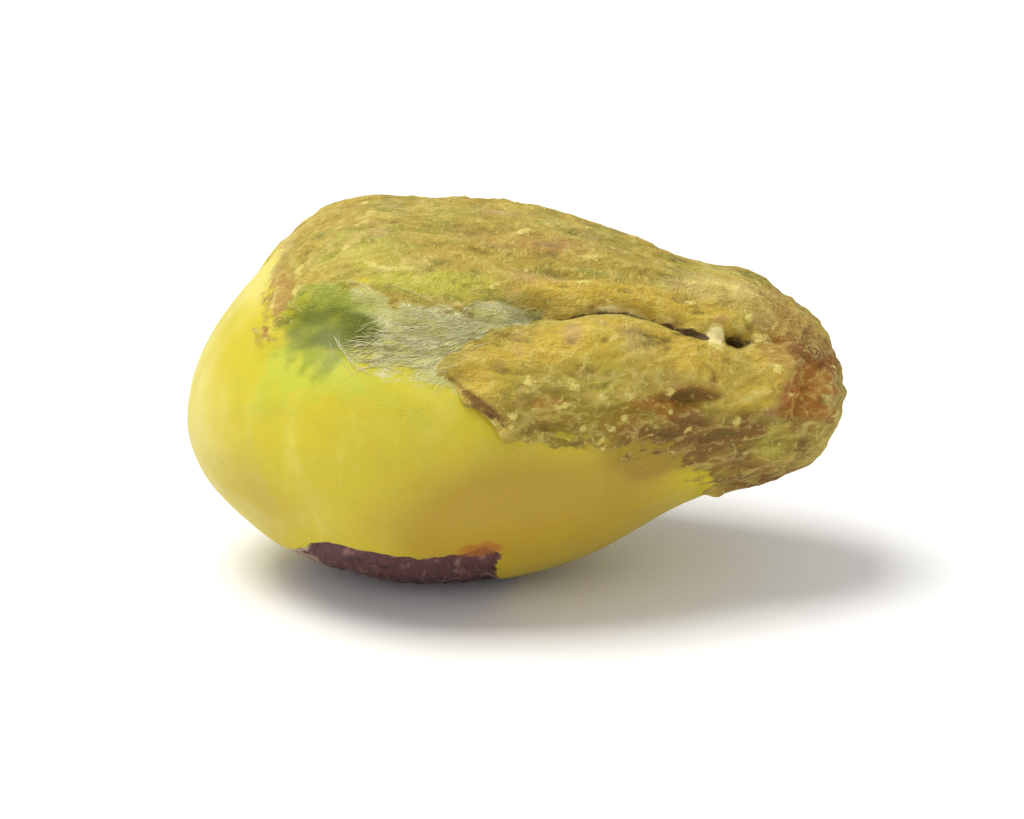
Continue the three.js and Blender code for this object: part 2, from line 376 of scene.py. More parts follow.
# How far noise of this size bends the crinkles, along x, y and z
CRINKLE_SWAY, SWAY_PATCH = np.array([0.2, 0.35, 0.35]), 1.6
RIDGE_SHARPNESS, RIDGE_MIDDLE = 2.6, 0.55
# The least that a line keeps of its width and height where it thins out
LINE_END = 0.02


def mound(place, along, around, half_length, half_girth, height):
    """A soft swelling, or a hollow where the height is below zero."""
    dx, dy = offset_on_skin(place, along, around)
    return height * np.exp(-(dx / half_length) ** 2 - (dy / half_girth) ** 2)


def line_of(place, path, half_width, height, thin_ends=False):
    """A furrow or a ridge along a path, which may thin out towards its ends."""
    distance, way = near_path(place, path)
    thin = np.sqrt(np.clip(np.sin(math.pi * way), LINE_END, 1)) if thin_ends else 1
    return height * thin * np.exp(-(distance / (half_width * thin)) ** 2)


def wrinkle_height(place):
    """The long waves of the skin that the solid has too, but uneven in height."""
    uneven = 1 + WRINKLE_VARIES * grain(place.body, WRINKLE_PATCH, "wrinkle")
    height = 0
    for count, sway, rate, phase, rise in WRINKLES:
        spacing = 2 * math.pi * place.radius / count
        strength = rise * uneven * smooth_step(FINEST_WRINKLE / 2, FINEST_WRINKLE, spacing)
        bend = sway * np.sin(rate * place.along + phase)
        height = height + strength * np.sin(count * np.radians(place.around) + bend + rate * place.along)
    return height


def crinkle_field(place):
    """The crinkles as a number from about -1 in the hollows to 0.6 on the crests."""
    sway = grain(place.body, SWAY_PATCH, "sway")[:, None] * CRINKLE_SWAY
    total = 0
    for layer, (long, short, height) in enumerate(CRINKLES):
        plain = grain(place.body + sway, (long, short, short), "crinkle", layer)
        total = total + height * (RIDGE_MIDDLE - RIDGE_SHARPNESS * np.abs(plain))
    return total / CRINKLE_TOTAL


print(len(CRINKLES), "sizes of crinkles, the broadest", CRINKLES[0][1], "mm across")

# %% The fields of the surface
# How softly the skin's edge rises, and how much wider it does so where the skin has worn thin
EDGE_SOFTNESS, THIN_REACH = 0.07, 0.5
FIBRE_BED = [
    (-4.7, 41), (-5.4, 60), (-4.1, 60), (-3.1, 56), (-1.9, 54), (-0.7, 57), (1.2, 57), (0.6, 40), (-0.6, 30),
    (-1.6, 24), (-2.4, 26), (-2.95, 28), (-3.9, 29),
]


def survey(place):
    """Every field of the surface that both the relief and the paint need, for each place."""
    found = SimpleNamespace()
    found.skin_edge = edge_distance(place, SKIN_OUTLINE, SKIN_LOWEST_ANGLE)
    found.violet_edge = edge_distance(place, VIOLET_OUTLINE, VIOLET_LOWEST_ANGLE)
    found.fibre_edge = edge_distance(place, FIBRE_BED, SKIN_LOWEST_ANGLE)
    found.skin_edge = np.maximum(found.skin_edge, place.along - END_SKIN_FROM + END_FRAY * fraying(place))
    found.thin = np.clip(sum(mound(place, *spot) for spot in THIN_SKIN), 0, 1)
    reach = EDGE_SOFTNESS + THIN_REACH * found.thin
    found.cover = smooth_step(-reach, reach, found.skin_edge)
    found.violet = smooth_step(-EDGE_SOFTNESS, EDGE_SOFTNESS, found.violet_edge)
    found.crinkle = crinkle_field(place)
    found.fleck_height, found.fleck = fleck_field(place)
    return found


print(len(FIBRE_BED), "points round the bed of fibres")

# %% The whole relief
# Size and height of lumps, and the place along where the narrow end's begin and are full
END_LUMPS, END_LUMPS_RISE = [(0.85, 0.06), (0.4, 0.025)], (4.6, 6.1)
LEAF_DIMPLES = [(1.7, 0.025), (0.5, 0.007)]
PIT = (6.17, 50, 0.28, 0.14, -0.3)
SEED_DOT = (-2.9, 16, 0.08, 0.08, -0.035)
# Pleats round the scar: their count, height, ring and reach, and how much noise of a size bends them
SCAR = (7.75, 22)
SCAR_PLEATS, SCAR_PLEAT_HEIGHT, SCAR_PLEAT_RING, SCAR_PLEAT_REACH = 9, 0.05, 0.85, 0.45
SCAR_PLEAT_BEND, SCAR_PLEAT_PATCH = 2.5, 0.9
# The raised lip of the skin's edge: reach, height, and the even and the uneven part of that height
LIP_REACH, LIP_HEIGHT, LIP_EVEN, LIP_VARIES, LIP_PATCH = 0.13, 0.06, 0.6, 0.8, 0.7
# Ridges that the fibre bed is combed into: size along, size across, height, and where they rise
FIBRE_RIDGES, FIBRE_RIDGE_HEIGHT, FIBRE_BED_RISE = (1.3, 0.24, 0.24), 0.05, (-0.1, 0.3)
BARE_FLECK_SHARE = 0.3


def scar_pleats(place):
    """Small pleats that run out from the scar, bent by noise so that no two are alike."""
    dx, dy = offset_on_skin(place, *SCAR)
    bend = SCAR_PLEAT_BEND * grain(place.body, SCAR_PLEAT_PATCH, "scar")
    turn = SCAR_PLEATS * np.arctan2(dy, dx) + bend
    ring = (np.hypot(dx, dy) - SCAR_PLEAT_RING) / SCAR_PLEAT_REACH
    return SCAR_PLEAT_HEIGHT * np.cos(turn) * np.exp(-ring ** 2)


def relief_height(place, found):
    """The whole relief at each place, in millimetres outward."""
    cover, violet = found.cover, found.violet
    height = SKIN_THICKNESS * cover
    height += wrinkle_height(place) * (BARE_WRINKLE_SHARE + (1 - BARE_WRINKLE_SHARE) * cover)
    for fold in FURROWS + FINE_FOLDS:
        height += line_of(place, *fold)
    for swelling in SWELLINGS + [PIT, SEED_DOT]:
        height += mound(place, *swelling)
    height += cover * found.crinkle * CRINKLE_TOTAL
    bed = (1 - cover) * smooth_step(*FIBRE_BED_RISE, found.fibre_edge)
    ridges = 1 - RIDGE_SHARPNESS * np.abs(grain(place.body, FIBRE_RIDGES, "fibre"))
    height += bed * FIBRE_RIDGE_HEIGHT * ridges
    height += np.maximum(cover, BARE_FLECK_SHARE) * found.fleck_height
    lip = np.exp(-((found.skin_edge - LIP_REACH) / LIP_REACH) ** 2)
    uneven = LIP_EVEN + LIP_VARIES * grain(place.body, LIP_PATCH, "lip")
    height += LIP_HEIGHT * lip * (1 - found.thin) * uneven
    end = smooth_step(*END_LUMPS_RISE, place.along)
    for share, lumps, pattern in ((end, END_LUMPS, "end"), (1 - cover, LEAF_DIMPLES, "leaf")):
        for layer, (size, rise) in enumerate(lumps):
            height += share * rise * grain(place.body, size, pattern, layer)
    height += scar_pleats(place)
    across, lengthwise, rise = VIOLET_PLEATS
    pleats = 1 - RIDGE_SHARPNESS * np.abs(grain(place.body, (across, lengthwise, lengthwise), "violet"))
    return height + violet * (rise * pleats - VIOLET_DEPTH)


def kernel_surface(place):
    """The surface points of the kernel, in millimetres, and the fields that were found there."""
    found = survey(place)
    points = place.body + place.outward * relief_height(place, found)[:, None]
    points[:, 2] = np.maximum(points[:, 2], 0)
    return points, found


print(len(FURROWS + FINE_FOLDS), "lines and", len(SWELLINGS) + 2, "mounds in the relief")

# %% [markdown]
# The mesh starts as a ball without poles: the six faces of a lattice box pushed out to a sphere.
# A globe of rings would pinch the skin into a point at both ends, just where the scar is. The
# cells come out nearly even in size, and so small that the finest creases still have a shape.

# %% Make the ball of directions
CELLS_LONG, CELLS_ROUND = 170, 108


def lattice_ball(cells):
    """The corners of a box lattice as directions of the unit ball, and its outward quads."""
    quads = []
    for axis in range(3):
        first, second = [a for a in range(3) if a != axis]
        u, v = np.meshgrid(np.arange(cells[first] + 1), np.arange(cells[second] + 1), indexing="ij")
        for side in (0, 1):
            corner = np.zeros(u.shape + (3,), int)
            corner[..., first], corner[..., second], corner[..., axis] = u, v, side * cells[axis]
            ring = [corner[:-1, :-1], corner[1:, :-1], corner[1:, 1:], corner[:-1, 1:]]
            faces = np.stack(ring, axis=2).reshape(-1, 4, 3)
            outward = (side == 1) != (axis == 1)
            quads.append(faces if outward else faces[:, ::-1])
    quads = np.concatenate(quads)
    corners, index = np.unique(quads.reshape(-1, 3), axis=0, return_inverse=True)
    box = np.tan((2 * corners / np.array(cells) - 1) * math.pi / 4)
    return box / np.linalg.norm(box, axis=1, keepdims=True), index.reshape(-1, 4)


directions, kernel_quads = lattice_ball((CELLS_LONG, CELLS_ROUND, CELLS_ROUND))
cell_sides = np.diff(places_at(directions).body[kernel_quads[:, :3]], axis=1)
print(len(directions), "vertices and", 2 * len(kernel_quads), "triangles, with cells",
      round(np.linalg.norm(cell_sides, axis=2).mean(), 3), "mm wide")

# %% [markdown]
# Colour zones are soft spots at places on the skin, one short list for each finish. A picture
# could be wrapped round the kernel instead, but that would tie it to one view. The spots only say
# roughly where a finish lies, and noise in the shader gives each its ragged edge.

# %% Where each finish lies: along, around, half length, half girth, strength
ZONES = {
    # Golden: darker towards the bottom of the front and underneath, partly the leaf's own deeper tone and
    # partly painted shade
    "golden": [(-2.0, -22, 2.4, 2.0, 0.8), (-0.3, -8, 1.5, 1.4, 0.5), (1.8, -22, 2.4, 2.0, 0.9),
               (0.0, -70, 5.0, 5.0, 0.8), (-6.9, -30, 1.2, 1.7, 0.6)],
    "lime": [(-4.9, 29, 1.2, 0.6, 0.9), (-3.7, 23, 1.2, 0.6, 0.6), (-5.9, 36, 0.9, 1.0, 0.75),
             (-6.6, 22, 0.9, 1.6, 0.45), (-2.2, 13, 1.2, 0.9, 0.3), (-4.6, 72, 2.0, 0.9, 0.35)],
    "moss": [(-4.9, 44, 1.5, 1.0, 1.2), (-5.1, 35, 0.8, 0.9, 0.9), (-5.1, 53, 0.9, 0.8, 0.8)],
    "green": [(-4.9, 43.5, 1.0, 0.6, 1.1), (-4.1, 41, 0.7, 0.55, 1.1), (-5.3, 49, 1.0, 0.6, 0.8)],
    # Pale: painted highlight on the broad end's rim, at the upper left, along the top and on the lobe's
    # bulge, and the violet skin's own paler folded edge
    "pale": [(-8.2, 20, 0.9, 3.0, 0.7), (-6.75, 88, 0.6, 1.4, 1.2), (-5.8, 100, 1.2, 0.6, 0.8),
             (6.0, 78, 1.4, 1.0, 0.7), (4.6, 70, 1.2, 0.6, 0.5), (-3.6, 84, 1.6, 0.5, 0.5),
             (-5.7, -62, 0.6, 0.7, 0.9), (3.4, 37, 0.8, 0.4, 0.9)],
    "tan": [(-6.25, 60, 0.5, 1.4, 1.2), (-6.4, 45, 0.35, 0.6, 0.9), (0.5, 77, 2.4, 0.9, 0.7),
            (7.4, 72, 1.0, 1.4, 1.0), (7.0, 40, 0.6, 0.5, 0.6), (-1.0, 120, 4.0, 2.0, 0.5),
            (3.0, 54, 0.8, 0.2, 0.8)],
    "honey": [(1.4, 59, 1.9, 0.42, 0.9), (3.6, 60, 1.3, 0.4, 0.8), (5.2, 60, 1.2, 0.6, 0.8),
              (-0.9, 28, 0.9, 0.9, 0.9), (1.0, 36, 1.3, 0.7, 0.8), (3.1, 39, 1.9, 0.75, 1.0),
              (6.2, 14, 0.9, 0.5, 0.9), (5.0, 32, 0.7, 0.5, 0.9), (6.9, 38, 0.7, 0.6, 0.9)],
    "fresh": [(-2.6, 57, 1.3, 0.42, 1.0), (-1.1, 57, 0.9, 0.35, 0.8), (-0.3, 27, 0.9, 0.6, 0.6),
              (2.6, 37, 1.6, 0.5, 0.45), (7.0, -17, 0.8, 0.5, 1.2), (-4.0, 68, 1.6, 0.8, 0.5),
              (2.3, 22, 1.2, 0.6, 0.4), (2.0, 39, 0.8, 0.5, 0.95)],
    "rust": [(7.5, 14, 0.6, 0.8, 1.1), (7.9, 28, 0.45, 0.8, 1.0), (0.9, 17, 0.8, 0.6, 0.5),
             (3.2, 10, 1.6, 0.7, 0.6), (4.7, 16, 1.1, 0.4, 0.6), (8.4, 60, 0.5, 2.0, 0.5),
             (-6.6, 55, 0.2, 1.1, 0.6),
             (7.3, 56, 0.4, 0.3, 0.7), (-0.8, -33, 0.7, 0.45, 1.2)],
    # Brown: the skin's own brown round the narrow end, and painted shade along the skin's lower edge and
    # under the lobe
    "brown": [(4.9, -8, 1.2, 0.7, 1.1), (3.7, -5, 1.4, 0.45, 0.9), (6.4, -50, 1.8, 1.7, 0.9),
              (0.6, 12, 1.0, 0.45, 0.5), (2.6, 6, 1.4, 0.4, 0.45), (7.9, 62, 0.7, 0.8, 0.6),
              (3.2, -12, 1.2, 0.8, 0.5), (6.2, -2, 0.5, 0.3, 0.9), (7.6, -4, 0.4, 0.3, 0.6),
              (4.0, -14, 0.9, 0.4, 0.8), (7.7, 52, 0.4, 0.6, 0.5)],
    "olive": [(1.2, 13, 1.5, 0.9, 1.0), (2.9, 9, 1.5, 0.6, 0.9), (0.2, 21, 0.8, 0.6, 0.6),
              (4.4, 8, 1.2, 0.6, 0.8), (7.9, -10, 0.6, 1.0, 0.6), (5.2, -25, 1.2, 1.0, 0.6)],
    "blush": [(-3.5, 140, 2.6, 1.8, 0.9), (1.8, 165, 2.6, 2.0, 1.0), (5.2, 190, 1.8, 1.6, 0.8),
              (-0.5, 205, 2.0, 1.2, 0.7), (0.2, 73, 0.8, 0.35, 0.3)],
}
# Dark lines, painted shade in the deep crack, creases and pit, and partly dried brown skin: path, half
# width, strength
SHADED_AND_DRIED_LINES = [
    ([(4.0, 51.5), *CRACK[5:], (5.35, 44.5)], 0.11, 2.0), (CRACK[:6], 0.07, 0.95),
    ([(2.0, 55.5), (2.7, 57.6), (3.4, 58.2), (4.0, 56)], 0.05, 0.6),
    ([(-0.8, 18.5), (-0.45, 15), (0.05, 11)], 0.1, 0.85),
    ([(3.1, 42.5), (3.81, 41), (4.5, 37.5)], 0.07, 0.6), ([(6.7, 51), (7.0, 53), (7.6, 55)], 0.08, 0.8),
    ([(-0.8, 63), (0.7, 64.5), (2.3, 64.5), (3.7, 66)], 0.06, 0.45),
    ([(5.75, 49.5), (6.2, 50), (6.65, 50.5)], 0.15, 1.2), ([(-3.0, 16), (-2.8, 16)], 0.07, 0.6),
]
# Soft brown lines, partly brown skin and partly painted shade along the torn edge and grooves: path, half
# width, strength
BROWN_AND_SHADE_LINES = [
    ([(-2.0, 31), (-1.1, 22), (-0.5, 16.5), (0.1, 12)], 0.15, 1.15),
    ([(3.7, 18), (4.7, 15.2), (5.8, 14.5)], 0.22, 1.1),
    ([(-6.95, 62), (-6.8, 50), (-6.6, 38)], 0.12, 0.8), ([(4.9, 33), (5.3, 26), (5.3, 17)], 0.14, 0.7),
]
# Pale crests and folds, partly the skin's own pale colour and partly painted highlight: path, half width,
# strength
PALE_AND_HIGHLIGHT_LINES = [
    ([(5.4, 8), (6.18, 13), (7.2, 24)], 0.22, 0.5), (SCAR_RIM, 0.14, 0.5), (PIT_RIM, 0.1, 0.9),
    ([(2.0, 53.2), (3.0, 55.2), (3.8, 53.2)], 0.13, 1.3),
    ([(5.15, 46), (5.5, 45.8), (5.85, 46)], 0.32, 2.6), ([(3.6, 54.5), (4.4, 51.5), (5.0, 49)], 0.1, 0.7),
    ([(-6.19, 76), (-6.37, 60), (-6.45, 45)], 0.1, 0.7), ([(-6.67, 84), (-6.8, 61), (-6.73, 39)], 0.08, 0.6),
    ([(-5.2, 78), (-3.6, 88), (-1.4, 92)], 0.13, 0.7), ([(-4.3, 66), (-3.2, 61), (-2.2, 62)], 0.12, 0.9),
    ([(-6.7, 110), (-5.9, 104), (-5.0, 95)], 0.22, 0.9), ([(-1.5, 72), (0.6, 76), (2.6, 73)], 0.12, 0.5),
    ([(-1.9, 31), (-1.0, 38.5), (0.3, 47)], 0.1, 0.5), ([(-6.35, -67), (-5.9, -57), (-5.4, -43)], 0.12, 1.0),
    ([(-5.8, -72), (-3.9, -64), (-1.6, -62)], 0.14, 0.7), ([(4.4, 72), (5.6, 78), (6.9, 74)], 0.14, 0.8),
]
print(sum(map(len, ZONES.values())), "spots of", len(ZONES), "finishes, and",
      len(SHADED_AND_DRIED_LINES + BROWN_AND_SHADE_LINES + PALE_AND_HIGHLIGHT_LINES), "lines")

# %% [markdown]
# The mesh takes its shape from the formula, and keeps what the formula found on its vertices. A
# displacement modifier could push the skin out too, but the shader wouldn't know where a torn edge
# or a fleck lies. With the same numbers in both, the paint always follows the form.

# %% Numbers that the shader reads
# Mottling that is coarse enough for the vertices: name, size of its lumps in millimetres
MOTTLES = [("broad", (2.6, 2.6, 2.6)), ("coarse", (0.9, 0.9, 0.9)), ("streak", (1.5, 0.5, 0.5)),
           ("girdle", (0.5, 2.4, 2.4)), ("fine", (0.4, 0.4, 0.4))]
# Most that the spots of one finish add up to, and the range that any number is kept in
ZONE_LIMIT, KEPT_RANGE = 1.2, (-2, 2.5)
# Where the painted skin is full, in millimetres from its edge, how much crepe frays that edge, and
# what thin skin adds to both
EDGE_FULL, EDGE_FULL_THIN = 0.04, 0.45
EDGE_FRAY, EDGE_FRAY_THIN = 0.3, 2.2
# How much the strength of a line varies, over how many millimetres, and the even share of a dark one
LINE_VARIES, LINE_PATCH, DARK_EVEN = 0.7, 0.3, 0.4
# Height of the fine creases that only the shader has, in millimetres: crepe, grit, thread, pleat
CREPE_HEIGHT, GRIT_HEIGHT, THREAD_HEIGHT, PLEAT_HEIGHT = 0.03, 0.014, 0.022, 0.03
LEAF_GRIT_HEIGHT = 0.006
GRIT_RISE, THREAD_RISE = (-0.05, 0.05), (-0.1, 0.2)


def marked(place, lines):
    """How strongly each place is marked by a list of lines, with the ends thinned out."""
    return np.max([line_of(place, *line, True) for line in lines], axis=0)


def paint(mesh, place, found):
    """Keeps each field on the mesh as a named number on every vertex, for the shader to read."""
    values = {name: np.clip(sum(mound(place, *spot) for spot in spots), 0, ZONE_LIMIT)
              for name, spots in ZONES.items()}
    values.update(skin_edge=found.skin_edge, violet_edge=found.violet_edge, fibre_edge=found.fibre_edge,
                  crinkle=found.crinkle, fleck=found.fleck)
    for layer, (name, size) in enumerate(MOTTLES):
        finer = grain(place.body, np.array(size) / 2, "half mottle", layer)
        values[name] = grain(place.body, size, "mottle", layer) + finer / 2
    values["brown"] = np.maximum(values["brown"], marked(place, BROWN_AND_SHADE_LINES))
    values["skin_full"] = EDGE_FULL + EDGE_FULL_THIN * found.thin
    values["papery"] = np.max([found.skin_edge, found.fibre_edge, found.violet_edge], axis=0)
    values["skin_fray"] = EDGE_FRAY + EDGE_FRAY_THIN * found.thin
    uneven = 1 + LINE_VARIES * grain(place.body, LINE_PATCH, "line")
    values["dark_line"] = marked(place, SHADED_AND_DRIED_LINES) * (DARK_EVEN + (1 - DARK_EVEN) * uneven)
    values["pale_line"] = marked(place, PALE_AND_HIGHLIGHT_LINES) * uneven
    values["crepe_height"] = CREPE_HEIGHT * found.cover
    values["grit_height"] = LEAF_GRIT_HEIGHT + GRIT_HEIGHT * smooth_step(*GRIT_RISE, values["papery"])
    values["thread_height"] = THREAD_HEIGHT * smooth_step(*THREAD_RISE, found.fibre_edge)
    values["pleat_height"] = PLEAT_HEIGHT * found.violet
    for name, numbers in values.items():
        kept = np.clip(numbers, *KEPT_RANGE).astype(np.float32)
        mesh.attributes.new(name, "FLOAT", "POINT").data.foreach_set("value", kept)


# %% Make the kernel's mesh
def into_scene(name, data):
    """Puts a new object with some data in the scene."""
    made = bpy.data.objects.new(name, data)
    bpy.context.scene.collection.objects.link(made)
    return made


def mesh_object(name, points, faces):
    """A smooth mesh object made of points in millimetres."""
    mesh = bpy.data.meshes.new(name)
    mesh.from_pydata((points * MM).tolist(), [], faces)
    mesh.polygons.foreach_set("use_smooth", [True] * len(mesh.polygons))
    mesh.update()
    return into_scene(name, mesh)


kernel_places = places_at(directions)
kernel_points, kernel_found = kernel_surface(kernel_places)
kernel = mesh_object("kernel_seed", kernel_points, kernel_quads.tolist())
paint(kernel.data, kernel_places, kernel_found)
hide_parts("kernel")
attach(kernel, "root")
print("fine kernel in mm:", np.round(np.ptp(kernel_points, axis=0), 2))

# %% [markdown]
# Colours are written as sRGB hex, as a colour picker gives them, and one function turns them
# linear for the shader. Another feeds the inputs of a node, and a third adds a node with its
# settings and its links. The same graph could be drawn in the node editor, but here each number
# can be read and changed in its place.

# %% Helpers for materials
def linear(hex_colour):
    """An sRGB hex colour as the linear red, green, blue and alpha that a shader takes."""
    channels = [int(hex_colour[i:i + 2], 16) / 255 for i in (0, 2, 4)]
    return [c / 12.92 if c <= 0.04045 else ((c + 0.055) / 1.055) ** 2.4 for c in channels] + [1.0]


def feed(tree, node, inputs):
    """Links each input of a node to a socket, or sets it to a value or a hex colour."""
    for socket, value in inputs.items():
        if isinstance(value, bpy.types.NodeSocket):
            tree.links.new(value, node.inputs[socket])
        else:
            node.inputs[socket].default_value = linear(value) if isinstance(value, str) else value


def add(tree, kind, inputs=None, **settings):
    """Adds a node with its settings, and feeds its inputs."""
    made = tree.nodes.new(kind)
    for name, value in settings.items():
        setattr(made, name, value)
    feed(tree, made, inputs or {})
    return made


def new_material(name):
    """A new material, its node tree, and the Principled shader in it."""
    material = bpy.data.materials.new(name)
    material.use_nodes = True
    return material, material.node_tree, material.node_tree.nodes["Principled BSDF"]


def lumps_per_metre(size_mm):
    """The noise scale that gives lumps of a size in millimetres."""
    return 1 / (size_mm * MM)


def creased(tree, vector, size_mm, sharpness):
    """A fine pattern that varies about 0, and a network of crests, 1 along a crest and 0 between."""
    noise_node = add(tree, "ShaderNodeTexNoise", {
        "Vector": vector, "Scale": lumps_per_metre(size_mm), "Detail": 2.0, "Roughness": 0.5,
    })
    centred = add(tree, "ShaderNodeMath", {0: noise_node.outputs["Fac"], 1: 0.5}, operation="SUBTRACT")
    folded = add(tree, "ShaderNodeMath", {0: centred.outputs[0]}, operation="ABSOLUTE")
    crest = add(tree, "ShaderNodeMath", {0: folded.outputs[0], 1: -sharpness, 2: 1.0},
                operation="MULTIPLY_ADD", use_clamp=True)
    return centred.outputs[0], crest.outputs[0]


def lay_coats(tree, under, coats):
    """Lays coats of colour on what is under them, each where its field, frayed by a pattern, is high."""
    for colour, field, fray, amount, low, high, most in coats:
        edge = add(tree, "ShaderNodeMath", {0: fray, 1: amount, 2: field}, operation="MULTIPLY_ADD")
        cover = add(tree, "ShaderNodeMapRange", {
            "Value": edge.outputs[0], "From Min": low, "From Max": high, "To Max": most,
        }, interpolation_type="SMOOTHSTEP")
        mixed = add(tree, "ShaderNodeMix", {0: cover.outputs[0], 6: under, 7: colour}, data_type="RGBA")
        under = mixed.outputs[2]
    return under


# %% [markdown]
# The kernel's surface is three real materials that meet at frayed edges. The bare seed leaf is firm and
# waxy, full of oil, so light goes a little way in and the gloss is soft and broad. The papery skin is thin,
# dry and creased, so it is matt; its crests are painted paler as painted highlight and its hollows darker
# olive as painted shade. The violet skin is as matt, and dark. One shader holds all three, so noise can fray
# their edges.

# %% Patterns and fields that the finish is made of
kernel_finish, tree, kernel_shader = new_material("waxy_seed_leaf_and_papery_skin")
where = add(tree, "ShaderNodeTexCoord").outputs["Object"]
lengthwise = add(tree, "ShaderNodeMapping", {"Vector": where, "Scale": (0.45, 1.0, 1.0)}).outputs[0]
sideways = add(tree, "ShaderNodeMapping", {"Vector": where, "Scale": (1.0, 0.2, 0.2)}).outputs[0]
# Real crepe has creases about 0.15 mm apart, and its grit, threads and pleats are finer still. All
# are drawn about twice as coarse, because at a few pixels each they would show as mere noise
crepe, crepe_crest = creased(tree, lengthwise, 0.27, 5.5)
grit, grit_crest = creased(tree, where, 0.14, 5.0)
_, thread_crest = creased(tree, lengthwise, 0.08, 6.0)
_, pleat_crest = creased(tree, sideways, 0.17, 6.0)
kept_fields = [attribute.name for attribute in kernel.data.attributes if attribute.data_type == "FLOAT"]
field = {name: add(tree, "ShaderNodeAttribute", attribute_name=name).outputs["Fac"] for name in kept_fields}
print(len(kept_fields), "fields:", *kept_fields)

# %% Colour of the bare leaf, the papery skin, the fibre bed and the violet skin
# Each coat: colour, field, what frays it, how much, start and end of the rise, most cover
broad, coarse, streak, fine = (field[name] for name in ("broad", "coarse", "streak", "fine"))
RUST, MOSS, GREEN, DRIED_BROWN_AND_SHADE = "a15e10", "8f9a1c", "626a0c", "3f2409"
leaf_colour = lay_coats(tree, "c6b61c", [
    ("d6c84c", broad, coarse, 0.4, -0.1, 0.8, 0.7),
    ("b5ae1e", coarse, fine, 0.4, 0.0, 0.9, 0.35),
    ("d8cb58", field["girdle"], fine, 0.4, 0.1, 0.9, 0.35),
    # Paler leaf on the rim and at the upper left: painted highlight
    ("dfd272", field["pale"], coarse, 0.15, 0.25, 1.0, 0.65),
    # Deeper golden low on the leaf: partly its own tone, partly painted shade
    ("a8890f", field["golden"], broad, 0.3, 0.0, 1.25, 0.95),
    ("b9bd34", field["lime"], fine, 0.45, 0.2, 1.15, 0.9),
    (MOSS, field["moss"], fine, 0.5, 0.4, 1.35, 0.9),
    ("7f7c28", field["moss"], streak, 0.5, 0.75, 1.5, 0.6),
    (GREEN, field["green"], streak, 0.55, 0.4, 1.3, 0.95),
    (RUST, field["rust"], fine, 0.4, 0.4, 0.9, 0.8),
    # Brown on the leaf under the lobe and below the skin's edge: painted shade, with the brown of the torn
    # edge
    ("8a6c18", field["brown"], coarse, 0.3, 0.2, 1.1, 0.6),
    ("8f741a", fine, grit, 1.0, 0.3, 0.9, 0.1),
])
plain_skin = lay_coats(tree, "ac9336", [
    ("8f892e", streak, crepe, 1.5, -0.3, 0.6, 0.8),
    ("b3ad38", field["fresh"], coarse, 0.35, 0.2, 0.8, 0.9),
    ("aaa538", field["lime"], streak, 0.35, 0.1, 0.7, 0.8),
    ("c3a433", field["honey"], streak, 0.3, 0.2, 0.85, 0.85),
    ("8a760f", field["olive"], streak, 0.4, 0.25, 0.95, 0.85),
    ("bd9762", coarse, streak, 0.6, 0.25, 0.9, 0.5),
    ("a9823a", field["tan"], streak, 0.4, 0.25, 0.85, 0.8),
    # Paler skin along the top and on the lobe: painted highlight
    ("c6ae62", field["pale"], streak, 0.35, 0.25, 0.9, 0.75),
    (RUST, field["rust"], streak, 0.4, 0.3, 0.9, 0.85),
    # Brown skin at the narrow end, darker under the lobe as painted shade
    ("714a10", field["brown"], streak, 0.35, 0.15, 0.95, 0.9),
    (MOSS, field["moss"], streak, 0.5, 0.3, 1.0, 0.75),
    (GREEN, field["green"], streak, 0.4, 0.35, 1.0, 0.8),
])
# Where the skin is violet, its painted highlight on crests and painted shade in hollows have violets of
# their own
dyed = (field["blush"], streak, 0.6, 0.2, 1.15, 0.95)
skin_base = lay_coats(tree, plain_skin, [("643f42", *dyed)])
pale_crest_and_highlight = lay_coats(tree, "d5c46a", [("a8807c", *dyed)])
skin_hollow_shade = lay_coats(tree, "5f531b", [("34181c", *dyed)])
# Painted light on the skin: the hollows of the crinkles are painted darker as painted shade and their crests
# paler as painted highlight. The same pale colour goes on fine specks, pale lines and flecks, partly the
# skin's own pale colour and partly painted highlight, and the brightest cream on the strongest pale lines is
# partly painted highlight too
skin_colour = lay_coats(tree, skin_base, [
    (skin_hollow_shade, field["crinkle"], crepe_crest, 0.7, 0.3, -0.6, 0.55),
    (pale_crest_and_highlight, field["crinkle"], crepe_crest, 1.0, 0.5, 1.4, 0.4),
    (pale_crest_and_highlight, grit, crepe, 0.5, 0.09, 0.22, 0.4),
    (pale_crest_and_highlight, field["pale_line"], crepe, 1.6, 0.3, 0.85, 0.75),
    (pale_crest_and_highlight, field["fleck"], grit, 1.8, 0.35, 0.85, 0.8),
    ("f0e09c", field["pale_line"], grit, 0.8, 1.0, 1.5, 0.85),
])
fibre_colour = lay_coats(tree, "b9b56a", [
    ("d6d1a4", streak, thread_crest, 0.9, 0.0, 1.1, 0.85),
    (MOSS, field["moss"], fine, 0.4, 0.4, 1.25, 0.85),
    (GREEN, field["green"], streak, 0.45, 0.4, 1.25, 0.95),
])
violet_colour = lay_coats(tree, "563133", [
    ("2c1316", coarse, grit, 1.5, 0.0, 0.6, 0.8),
    ("9a7468", fine, pleat_crest, 0.7, 0.5, 1.3, 0.6),
    ("a98c7c", field["pale"], coarse, 0.6, 0.3, 0.8, 0.7),
    ("b7a08c", field["pale_line"], grit, 1.6, 0.3, 0.8, 0.85),
    (RUST, field["rust"], grit, 1.0, 0.4, 0.8, 0.8),
])
